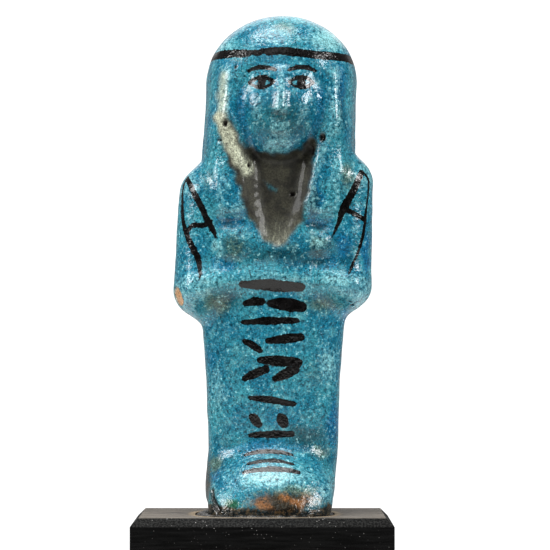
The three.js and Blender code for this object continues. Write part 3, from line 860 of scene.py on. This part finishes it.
def faience():
    """Turquoise glaze, thin and pale on the ridges, deep blue where it pooled, missing at the neck, with painted shade
    and painted highlights among its tints.
    """
    f = Finish("faience_glaze")
    broad = f.clouds(6.0, 3)
    middle = f.clouds(2.0, 3)
    fine = f.clouds(0.6, 3, roughness=0.65)
    grit = f.clouds(0.26, 2, roughness=0.7)

    tone = f.mix(colour(26, 114, 138), colour(60, 140, 154), f.step(broad, 0.38, 0.66))
    tone = f.mix(tone, colour(98, 168, 176), f.step(middle, 0.54, 0.74, 0, 0.7))
    for name, (tint, ragged, start, end, most) in GLAZE_TINTS.items():
        edge = f.math("MULTIPLY_ADD", fine, ragged, -ragged / 2)
        tone = f.mix(tone, tint, f.step(f.math("ADD", f.mark(name), edge), start, end, 0, most))
    tone = f.mix(tone, colour(8, 50, 64), f.step(fine, 0.5, 0.3, 0, 0.75))
    tone = f.mix(tone, colour(160, 212, 216), f.step(fine, 0.54, 0.74, 0, 0.75))

    bare = f.mark("bare")
    # The bare body: dark brown at its top, painted shade under the chin and hair, and lighter grey-green with
    # scratches lower down.
    body = f.mix(colour(32, 31, 23), colour(60, 59, 47), f.step(middle, 0.35, 0.65))
    low = f.step(f.axis("Z"), HAIR_END_Z + 19.1, HAIR_END_Z + 13, 0, 0.8)
    body = f.mix(body, colour(96, 98, 84), low)
    lines = f.clouds(1.0, 2, f.mapped(f.place, scale=(3.0, 1.0, 0.5), turn=(0, math.radians(60), 0)))
    body = f.mix(body, colour(140, 142, 124), f.math("MULTIPLY", low, f.step(lines, 0.52, 0.66, 0, 0.8)))
    tone = f.mix(tone, body, bare)
    tone = f.mix(tone, colour(200, 204, 180), f.math("MULTIPLY", f.mark("cream"), f.step(fine, 0.3, 0.6, 0.4, 0.9)))
    ragged = f.math("MULTIPLY_ADD", fine, 0.9, -0.45)
    rust = f.mix(colour(62, 46, 22), colour(134, 84, 26), f.step(middle, 0.42, 0.62))
    tone = f.mix(tone, rust, f.step(f.math("ADD", f.mark("orange"), ragged), 0.2, 0.75, 0, 0.9))
    tone = f.mix(tone, colour(36, 84, 18), f.step(f.math("ADD", f.mark("green"), ragged), 0.3, 0.8, 0, 0.75))
    tone = f.mix(tone, colour(190, 150, 112), f.mark("chip"))
    tone = f.shaded(tone, f.step(grit, 0.3, 0.7, 0.5, 1.4))
    specks = f.math("MULTIPLY", f.step(f.dots(0.95), 0.17, 0.11), f.step(f.clouds(1.7, 1), 0.48, 0.54))
    tone = f.mix(tone, colour(20, 28, 28), f.math("MULTIPLY", specks, 0.85))
    soil = f.step(f.math("ADD", f.mark("grime"), ragged), 0.25, 0.8, 0, 0.95)
    tone = f.mix(tone, f.mix(colour(18, 14, 10), colour(84, 66, 44), f.step(fine, 0.45, 0.65)), soil)
    tone = f.mix(tone, colour(26, 20, 14), f.mark("dirt"))

    brushed = f.math("ADD", f.math("MULTIPLY_ADD", fine, 0.4, -0.2), f.math("MULTIPLY_ADD", middle, 0.4, -0.2))
    inked = f.step(f.math("ADD", f.mark("ink"), brushed), 0.05, -0.06)
    # Ink: near black, its lighter grey specks partly wear and partly painted glints.
    ink_black_and_glints = f.mix(colour(5, 4, 4), colour(32, 28, 28), f.step(grit, 0.56, 0.72))
    f.give("Base Color", f.mix(tone, ink_black_and_glints, inked))

    gloss = f.step(middle, 0.3, 0.7, 0.2, 0.32)
    gloss = f.math("MAXIMUM", gloss, f.math("MULTIPLY", bare, 0.65))
    f.give("Roughness", gloss)
    f.give("Coat Weight", 0.15)
    f.give("Coat Roughness", 0.1)
    relief = f.bump(f.clouds(0.36, 1), 0.07)
    relief = f.bump(f.clouds(0.9, 1), 0.12, relief)
    f.give("Normal", relief)
    return f.material


def socket_reach(f):
    """How far each point of the stand lies out from the socket's middle, 1 at the socket's edge."""
    reach = 0.0
    for axis, middle, half in (("X", SOCKET_MIDDLE.x, SOCKET_HALF_WIDTH), ("Y", SOCKET_MIDDLE.y, SOCKET_HALF_DEPTH)):
        across = f.math("ABSOLUTE", f.math("MULTIPLY_ADD", f.axis(axis), 1 / half, -middle / MM / half))
        reach = f.math("ADD", f.math("POWER", across, SOCKET_SQUARENESS), reach)
    return f.math("POWER", reach, 1 / SOCKET_SQUARENESS)


def black_wood():
    """Painted black wood, dusty on top, its grain running across."""
    f = Finish("black_wood")
    grain_place = f.mapped(f.place, scale=(0.12, 1.6, 1.6))
    fibres = f.clouds(0.7, 3, grain_place)
    dust = f.clouds(0.3, 2)
    tone = f.mix(colour(6, 6, 6), colour(17, 17, 17), f.step(fibres, 0.4, 0.7))
    height = f.axis("Z")
    top = f.step(height, STAND_TOP / MM - 0.12, STAND_TOP / MM - 0.02)
    edge = f.step(height, STAND_TOP / MM - 1.6, STAND_TOP / MM - 1.3)
    tone = f.mix(tone, colour(44, 44, 43), f.math("MULTIPLY", edge, f.step(dust, 0.4, 0.62)))
    dusty = f.mix(colour(74, 70, 65), colour(128, 121, 113), f.step(fibres, 0.35, 0.65))
    tone = f.mix(tone, dusty, top)
    rim = f.math("ADD", socket_reach(f), f.math("MULTIPLY_ADD", dust, 0.16, -0.08))
    tone = f.mix(tone, colour(150, 134, 112), f.math("MULTIPLY", top, f.step(rim, 1.13, 1.04)))
    specks = f.math("MULTIPLY", f.step(f.dots(0.6), 0.16, 0.08), f.step(f.clouds(2.0, 1), 0.45, 0.6))
    tone = f.mix(tone, colour(170, 168, 165), f.math("MULTIPLY", specks, f.step(height, 17, 19, 0.3, 0.9)))
    f.give("Base Color", tone)
    f.give("Roughness", f.step(fibres, 0.3, 0.7, 0.45, 0.7))
    f.give("Specular IOR Level", 0.1)
    f.give("Normal", f.bump(fibres, 0.08, f.bump(dust, 0.03)))
    return f.material


def wax():
    f = Finish("setting_wax")
    f.give("Base Color", f.mix(colour(16, 13, 10), colour(70, 60, 46), f.step(f.clouds(0.9, 2), 0.5, 0.7)))
    f.give("Roughness", f.step(f.clouds(0.5, 1), 0.3, 0.7, 0.2, 0.5))
    f.give("Normal", f.bump(f.clouds(0.4, 2), 0.1))
    return f.material


# ---- Stand and the wax that sets the foot ---------------------------------------------------------------

WAX_SIDES = 12
WAX_STEPS = 160
WAX_MIDDLE_DROP = 0.5  # from the stand's top down to the middle of the bead, in millimetres
WAX_HALF_HEIGHT = 0.6


def foot_reach(turn, level):
    """How far the foot reaches from the socket's middle in each direction, at a height on the figure."""
    middle = to_millimetres(np.array(SOCKET_MIDDLE))
    reach = np.zeros(len(turn))
    for step in np.arange(4, SOCKET_HALF_DEPTH + 2, 0.05):
        points = np.stack([
            middle[0] + step * np.cos(turn),
            middle[1] + step * np.sin(turn),
            np.full(len(turn), level),
        ], axis=1)
        reach = np.where(figure_distance(points) < 0, step, reach)
    return reach


def socket_edge(turn):
    """How far the socket reaches from its middle in each direction."""
    across = np.abs(np.cos(turn) / SOCKET_HALF_WIDTH) ** SOCKET_SQUARENESS
    along = np.abs(np.sin(turn) / SOCKET_HALF_DEPTH) ** SOCKET_SQUARENESS
    return (across + along) ** (-1 / SOCKET_SQUARENESS)


def make_wax():
    """A dark bead of wax, pressed into the gap between the foot and the socket's edge."""
    bm = bmesh.new()
    upright = Matrix.Translation((1, 0, 0)) @ Matrix.Rotation(math.pi / 2, 4, "X")
    bmesh.ops.create_circle(bm, segments=WAX_SIDES, radius=0.1, matrix=upright)
    bmesh.ops.spin(
        bm, geom=bm.verts[:] + bm.edges[:], angle=2 * math.pi, steps=WAX_STEPS,
        axis=(0, 0, 1), cent=(0, 0, 0), use_merge=True,
    )
    bmesh.ops.recalc_face_normals(bm, faces=bm.faces)
    wax_bead = new_piece("setting_wax", bm)
    ring = vertex_points(wax_bead.data)
    turn = np.arctan2(ring[:, 1], ring[:, 0])
    outward = (np.hypot(ring[:, 0], ring[:, 1]) - 1) / 0.1
    up = ring[:, 2] / 0.1
    foot_side = foot_reach(turn, (STAND_TOP - SPINE.z) / MM) - 0.1
    outer_side = socket_edge(turn) - 0.03
    reach = lerp(foot_side, outer_side, (outward + 1) / 2)
    x = SOCKET_MIDDLE.x / MM + reach * np.cos(turn)
    y = SOCKET_MIDDLE.y / MM + reach * np.sin(turn)
    level = STAND_TOP / MM - WAX_MIDDLE_DROP + WAX_HALF_HEIGHT * up
    crinkle = grain(np.stack([x, y, level], axis=1), 1.1, 9) + grain(np.stack([x, y, level], axis=1), 0.5, 10)
    level = level + (up > 0) * up * (0.22 * (1 - outward) + 0.22 * crinkle)
    set_vertex_points(wax_bead.data, np.stack([x, y, level], axis=1) * MM)
    shade_smooth(wax_bead.data)
    wax_bead.data.materials.append(wax())
    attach(wax_bead, "root")
    return wax_bead


def make_stand():
    bm = merged_copy("display_stand")
    bmesh.ops.dissolve_limit(bm, angle_limit=math.radians(1), verts=bm.verts, edges=bm.edges)
    stand = new_piece("display_block", bm)
    bevel = stand.modifiers.new("worn_edges", "BEVEL")
    bevel.width = 0.14 * MM
    bevel.segments = 2
    bevel.limit_method = "ANGLE"
    bevel.angle_limit = math.radians(20)
    apply_modifiers(stand)
    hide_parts("display_stand")
    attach(stand, "root")
    return stand


# ---- Studio -------------------------------------------------------------------------------------------

CAMERA_DISTANCE = 617 * MM
CAMERA_PLACE = Vector((2.1 * MM, SPINE.y - CAMERA_DISTANCE, 51.6 * MM))
CAMERA_AIM = Vector((2.1 * MM, SPINE.y, 60.2 * MM))
FRAME_WIDTH = 93.1 * MM  # what the camera takes in, at the figure
SENSOR = 36


def make_camera():
    camera = bpy.data.objects.new("camera", bpy.data.cameras.new("camera"))
    bpy.context.scene.collection.objects.link(camera)
    camera.data.sensor_width = SENSOR
    camera.data.lens = SENSOR * CAMERA_DISTANCE / FRAME_WIDTH
    camera.data.clip_start = 0.01
    camera.data.clip_end = 20
    camera.location = CAMERA_PLACE
    camera.rotation_euler = (CAMERA_AIM - CAMERA_PLACE).to_track_quat("-Z", "Y").to_euler()
    bpy.context.scene.camera = camera


def soft_light(name, place, size, power):
    """A square soft light aimed at the figure's chest."""
    light = bpy.data.lights.new(name, "AREA")
    light.size = size
    light.energy = power
    lamp = bpy.data.objects.new(name, light)
    bpy.context.scene.collection.objects.link(lamp)
    aim = Vector((SPINE.x, SPINE.y, SPINE.z + 50 * MM))
    lamp.location = Vector(place)
    lamp.rotation_euler = (aim - lamp.location).to_track_quat("-Z", "Y").to_euler()
    lamp.visible_camera = False


ROOM = 0.06  # light from the dim room in front
PAPER = 0.35  # light from the white paper behind


def make_studio():
    """A white studio: the eye sees plain white, and the pieces are lit by two soft lights and a dim room."""
    bpy.context.scene.view_settings.view_transform = "Standard"
    bpy.context.scene.view_settings.look = "Medium High Contrast"
    world = bpy.data.worlds.new("studio")
    bpy.context.scene.world = world
    world.use_nodes = True
    tree = world.node_tree
    tree.nodes.clear()
    output = tree.nodes.new("ShaderNodeOutputWorld")
    room = tree.nodes.new("ShaderNodeBackground")
    white = tree.nodes.new("ShaderNodeBackground")
    white.inputs["Color"].default_value = (1, 1, 1, 1)
    place = tree.nodes.new("ShaderNodeTexCoord")
    axes = tree.nodes.new("ShaderNodeSeparateXYZ")
    behind = tree.nodes.new("ShaderNodeMapRange")
    for name, number in zip(("From Min", "From Max", "To Min", "To Max"), (0.1, 0.8, ROOM, PAPER)):
        behind.inputs[name].default_value = number
    tree.links.new(place.outputs["Generated"], axes.inputs[0])
    tree.links.new(axes.outputs["Y"], behind.inputs["Value"])
    tree.links.new(behind.outputs["Result"], room.inputs["Strength"])
    seen = tree.nodes.new("ShaderNodeLightPath")
    choice = tree.nodes.new("ShaderNodeMixShader")
    tree.links.new(seen.outputs["Is Camera Ray"], choice.inputs[0])
    tree.links.new(room.outputs[0], choice.inputs[1])
    tree.links.new(white.outputs[0], choice.inputs[2])
    tree.links.new(choice.outputs[0], output.inputs["Surface"])
    soft_light("overhead", (-0.05, -0.12, 0.66), 0.40, 3.1)
    soft_light("spark", (-0.25, -0.10, 0.66), 0.07, 0.40)
    soft_light("back", (0, 0.46, 0.50), 0.60, 1.2)
    soft_light("left", (-0.54, -0.22, 0.34), 0.26, 2.7)
    soft_light("right", (0.52, -0.30, 0.32), 0.20, 2.7)
    soft_light("front", (-0.10, -0.62, 0.40), 0.30, 0.35)
    bm = bmesh.new()
    bmesh.ops.create_circle(bm, cap_ends=True, segments=96, radius=0.235)
    floor = new_piece("floor", bm)
    floor.data.materials.append(floor_finish())


def floor_finish():
    """Pale floor that fades away into the white room towards its rim."""
    f = Finish("pale_floor")
    f.give("Base Color", colour(236, 236, 234))
    f.give("Roughness", 0.8)
    across = f.tree.nodes.new("ShaderNodeVectorMath")
    across.operation = "LENGTH"
    f.set(across.inputs[0], f.place)
    f.give("Alpha", f.step(across.outputs["Value"], 90, 225, 1, 0))
    return f.material


make_camera()
figure = make_figure()
figure.data.materials.clear()
figure.data.materials.append(faience())
stand = make_stand()
stand.data.materials.clear()
stand.data.materials.append(black_wood())
make_wax()
make_studio()
